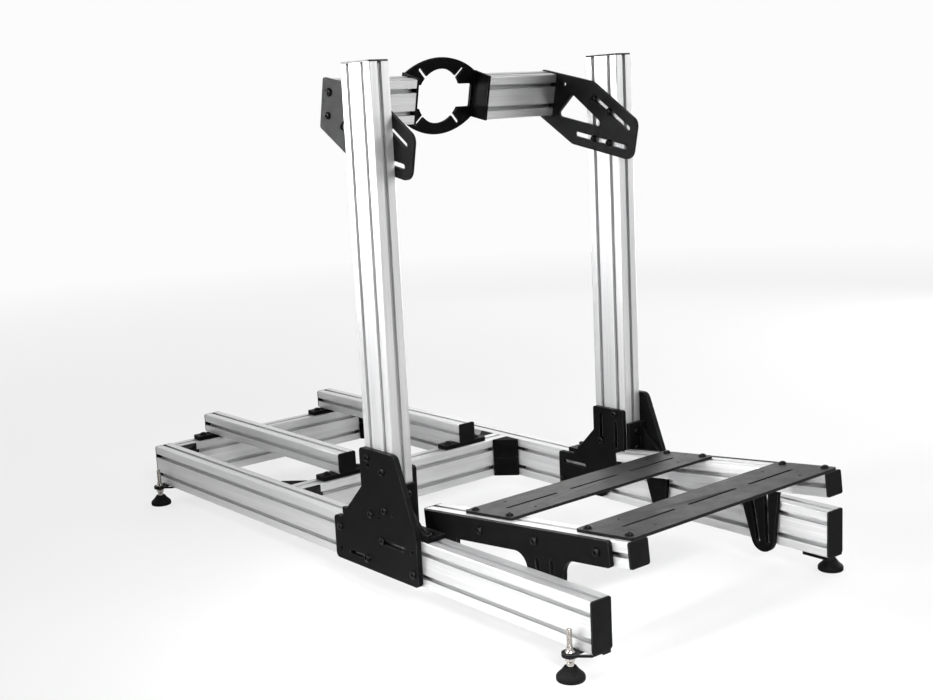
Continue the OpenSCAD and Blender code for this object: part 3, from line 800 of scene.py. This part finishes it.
# the rubber foot, as (radius, height) in millimetres
FOOT_R, FOOT_H = 21.5, 21.0
FOOT_RIM = [(18.5, 0), (FOOT_R - 0.8, 0.3), (FOOT_R, 1.4), (FOOT_R, 6.2), (FOOT_R - 0.5, 7.6),
            (FOOT_R - 1.6, 9.0)]
FOOT_SHOULDER, FOOT_NECK = (FOOT_R - 1.9, 9.4), (9.6, FOOT_H - 0.6)
FOOT_CUP = [(9.2, FOOT_H), (8.4, FOOT_H), (7.8, FOOT_H - 0.8), (7.2, FOOT_H - 3.2),
            (5.0, FOOT_H - 3.6)]
FOOT_HOLLOW, MOULD_LINE = 0.9, [(0.25, 0.1), (0.35, 0.5)]
BELL_STEPS = 9

# the bracket, as (forwards, inwards) in millimetres from the stud of a right-hand foot
BRACKET_RIM = [(31.5, 13.2), (32.0, 51.0), (-20.5, 51.0), (-12.4, 2.0)]
BRACKET_OPENING = [(10.2, 29.5), (26.5, 29.5), (26.5, 14.5), (13.8, 1.6), (11.6, 4.0),
                   (10.2, 9.0)]
BRACKET_LIP = [(-20.5, 36.0), (32.0, 36.0), (32.0, 51.0), (-20.5, 51.0)]
BRACKET_THIN, BRACKET_THICK = 3.2 * MM, 6.0 * MM
BOSS_R, BOSS_EDGE, BOSS_RISE = 12.6 * MM, 0.5 * MM, 0.2 * MM
BOSS_START, BOSS_SWEEP, BOSS_STEPS = 175, 140, 12

STUD_MAJOR, STUD_MINOR, STUD_PITCH, STUD_STEPS = 4.2 * MM, 3.75 * MM, 1.25 * MM, 20
THREAD_FROM, THREAD_FADE, THREAD_STOP = 22 * MM, 1.6 * MM, 0.2 * MM
THREAD_ROOT, THREAD_CREST = 0.5, 0.14                  # half widths, in parts of the pitch
STUD_TIP = [(3.2, -2.0), (3.2, -0.5), (2.6, 0.0)]      # heights from the stud's top
STUD_SHANK = [(5.6, 16), (5.6, 28.6), (5.2, 29.4), (3.4, 29.4)]

FLARED_NUT = [(7.4, 0), (7.6, 0.5), (7.4, 1.1), (5.6, 3.0), (5.3, 4.2), (5.1, 7.6), (4.5, 8.2)]
NUT_FLATS, NUT_TALL, NUT_BORE, NUT_FLARE = 13 * MM, 6 * MM, 3.7 * MM, 0.5 * MM
NUT_FACE, NUT_MOUTH, NUT_CHAMFER = 0.97, 1.12, 0.09    # parts of half flats, bore and height
NUT_BELOW, WASHER_BELOW, FLARED_ABOVE = 7.4 * MM, 1.4 * MM, 0.2 * MM
WASHER_R, WASHER_HOLE, WASHER_THICK, WASHER_EDGE = 7.6 * MM, 4.1 * MM, 1.2 * MM, 0.25 * MM


def foot_centres():
    """The middle of each foot on the floor."""
    low_pad, high_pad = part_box("foot_pads")
    radius = FOOT_R * MM
    xs = (low_pad.x + radius, high_pad.x - radius)
    ys = (low_pad.y + radius, high_pad.y - radius)
    return [Vector((x, y, 0)) for x in xs for y in ys]


def at_feet(z=0.0):
    """Places at one height above every foot's middle."""
    return [Matrix.Translation((c.x, c.y, z)) for c in foot_centres()]


def make_rubber_feet():
    """Rubber bell feet with a cup at the top and fine mould rings."""
    profile = list(FOOT_RIM)
    for k in range(BELL_STEPS + 1):
        t = k / BELL_STEPS
        r = FOOT_SHOULDER[0] + (FOOT_NECK[0] - FOOT_SHOULDER[0]) * t
        z = (FOOT_SHOULDER[1] + (FOOT_NECK[1] - FOOT_SHOULDER[1]) * t
             - FOOT_HOLLOW * sin(pi * t))
        profile.append((r, z))
        if 0 < k < BELL_STEPS and k % 3 == 0:
            profile += [(r - cut, z + rise) for cut, rise in MOULD_LINE]
    shape = Shape()
    shape.lathe(in_metres(profile + FOOT_CUP), steps=64)
    made = piece("rubber_feet", shape, at_feet(), RUBBER, smooth=50)
    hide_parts("foot_pads")


def make_foot_bracket_plates():
    """Flat brackets under the rail ends: a boss round the stud and an arm with an opening."""
    rim = in_metres(BRACKET_RIM)
    for k in range(BOSS_STEPS + 1):
        a = radians(BOSS_START + BOSS_SWEEP * k / BOSS_STEPS)
        rim.append((BOSS_R * cos(a), BOSS_R * sin(a)))
    hole = in_metres(BRACKET_OPENING)
    shape = Shape()
    top = shape.outline(rim + hole, RAIL_UNDER)
    under = shape.outline(rim + hole, RAIL_UNDER - BRACKET_THIN)
    flat = [Vector((x, y, 0)) for x, y in rim + hole]
    count = len(rim)
    for a, b, c in tessellate_polygon([flat[:count], flat[count:]]):
        if (flat[b] - flat[a]).cross(flat[c] - flat[a]).z < 0:
            b, c = c, b
        shape.faces += [(top[a], top[b], top[c]), (under[c], under[b], under[a])]
    shape.bridge(under[:count], top[:count])
    shape.bridge(top[count:], under[count:])
    lip = in_metres(BRACKET_LIP)
    boss_under = RAIL_UNDER - BRACKET_THICK
    lip_under = shape.outline(lip, boss_under)
    lip_top = shape.outline(lip, RAIL_UNDER - 0.5 * BRACKET_THIN)
    shape.bridge(lip_under, lip_top)
    shape.fill(lip_under, upwards=False)
    shape.fill(lip_top)
    shape.lathe([(BOSS_R - BOSS_EDGE, boss_under), (BOSS_R, boss_under + BOSS_EDGE),
                 (BOSS_R, RAIL_UNDER - BOSS_EDGE),
                 (BOSS_R - BOSS_EDGE, RAIL_UNDER + BOSS_RISE)], steps=40)
    places = [place @ MIRROR if place.translation.y > 0 else place for place in at_feet()]
    made = piece("foot_bracket_plates", shape, places, PLATE_BLACK, smooth=40)
    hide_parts("foot_brackets")


def add_thread(shape, top):
    """A thread as one long helical strip that fades out under the stud's top."""
    turns = int((top - THREAD_FROM) / STUD_PITCH)
    rows = []
    for k in range(turns * STUD_STEPS + 1):
        a = 2 * pi * k / STUD_STEPS
        z = THREAD_FROM + STUD_PITCH * k / STUD_STEPS
        fade = min(1.0, (top - z) / THREAD_FADE)
        crest = STUD_MINOR + (STUD_MAJOR - STUD_MINOR) * max(0.0, fade)
        rows.append(len(shape.points))
        for radius, rise in ((STUD_MINOR, -THREAD_ROOT), (crest, -THREAD_CREST),
                             (crest, THREAD_CREST), (STUD_MINOR, THREAD_ROOT)):
            shape.points.append(Vector((radius * cos(a), radius * sin(a),
                                        min(z + rise * STUD_PITCH, top - THREAD_STOP))))
    for first, second in zip(rows, rows[1:]):
        for j in range(3):
            shape.faces.append((first + j, second + j, second + j + 1, first + j + 1))


def make_levelling_studs():
    """Threaded studs with a plain shank in the foot, and a chamfered tip."""
    top = high("foot_studs").z
    shape = Shape()
    add_thread(shape, top)
    shape.lathe([(r * MM, top + z * MM) for r, z in STUD_TIP], steps=24, close_bottom=False)
    shape.lathe(in_metres(STUD_SHANK), steps=32, close_top=False)
    made = piece("levelling_studs", shape, at_feet(), NICKEL, smooth=40)
    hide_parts("foot_studs")


def hex_nut(flats, height, bore, steps=24):
    """Hexagon nut with chamfered corners and a flared bore, seated at z = 0."""
    shape = Shape()
    side = hexagon(flats, steps // 6)
    face_r, mouth_r, drop = flats * 0.5 * NUT_FACE, bore * NUT_MOUTH, NUT_CHAMFER * height
    shape.bridge_all([
        shape.ring(face_r, 0, steps),
        shape.outline(side, drop),
        shape.outline(side, height - drop),
        shape.ring(face_r, height, steps),
        shape.ring(mouth_r, height, steps),
        shape.ring(bore, height - NUT_FLARE, steps),
        shape.ring(bore, NUT_FLARE, steps),
        shape.ring(mouth_r, 0, steps),
    ], closed=True)
    return shape


def washer(radius, hole, height, steps=28):
    """Flat washer with broken outer edges, seated at z = 0."""
    shape = Shape()
    edge = WASHER_EDGE
    profile = [(hole, 0), (radius - edge, 0), (radius, edge), (radius, height - edge),
               (radius - edge, height), (hole, height)]
    shape.bridge_all([shape.ring(r, z, steps) for r, z in profile], closed=True)
    return shape


def make_levelling_nuts():
    """A nut and washer under each bracket, and a flared nut on top of it."""
    over, under = high("foot_brackets").z, low("foot_brackets").z
    places = [place @ Matrix.Rotation(0.5 * i, 4, "Z")
              for i, place in enumerate(at_feet(under - NUT_BELOW))]
    made = piece("levelling_nuts", hex_nut(NUT_FLATS, NUT_TALL, NUT_BORE), places, NICKEL,
                 smooth=30)
    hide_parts("foot_nuts")
    flared = Shape()
    flared.lathe(in_metres(FLARED_NUT), steps=36)
    piece("flared_nuts", flared, at_feet(over + FLARED_ABOVE), NICKEL, smooth=30)
    piece("levelling_washers", washer(WASHER_R, WASHER_HOLE, WASHER_THICK),
          at_feet(under - WASHER_BELOW), NICKEL, smooth=30)


# ---------------------------------------------------------------- everything in its place

SLOT_EDGE, CAP_EDGE, PLATE_EDGE, CAST_EDGE = 0.8, 0.7, 0.6, 0.5    # rounding in millimetres

make_camera()
make_studio()

dress(["rail_right", "rail_left", "seat_rail_right", "seat_rail_left"], METAL_X, SLOT_EDGE)
dress(["cross_rear", "cross_middle", "beam_stub_right", "beam_stub_left"], METAL_Y, SLOT_EDGE)
dress(["upright_right", "upright_left"], METAL_Z, SLOT_EDGE)
dress(["deck_rail_right", "deck_rail_left"], METAL_DECK, SLOT_EDGE)
dress(["outer_plate_right", "outer_plate_left", "inner_plate_right", "inner_plate_left",
       "base_angles_right", "base_angles_left", "deck_side_plate_right",
       "deck_side_plate_left", "ring_mount", "seat_spacers"], PLATE_BLACK, PLATE_EDGE)
dress(["pedal_plate_rear", "pedal_plate_front"], PEDAL_BLACK, PLATE_EDGE)
dress(["beam_bracket_right", "beam_bracket_left"], BRACKET_BLACK_PAINTED_LIT, PLATE_EDGE)
dress(["corner_gussets"], CAST_BLACK, CAST_EDGE)
dress(["rail_caps", "seat_rail_caps", "deck_rail_caps"], CAP_BLACK, CAP_EDGE)
dress(["upright_caps"], CAP_GLOSS, CAP_EDGE)

make_plate_bolts()
make_pedal_plate_bolts()
make_base_angle_bolts()
make_seat_spacer_bolts()
make_gusset_covers()
make_gusset_slot_nuts()
make_rubber_feet()
make_foot_bracket_plates()
make_levelling_studs()
make_levelling_nuts()
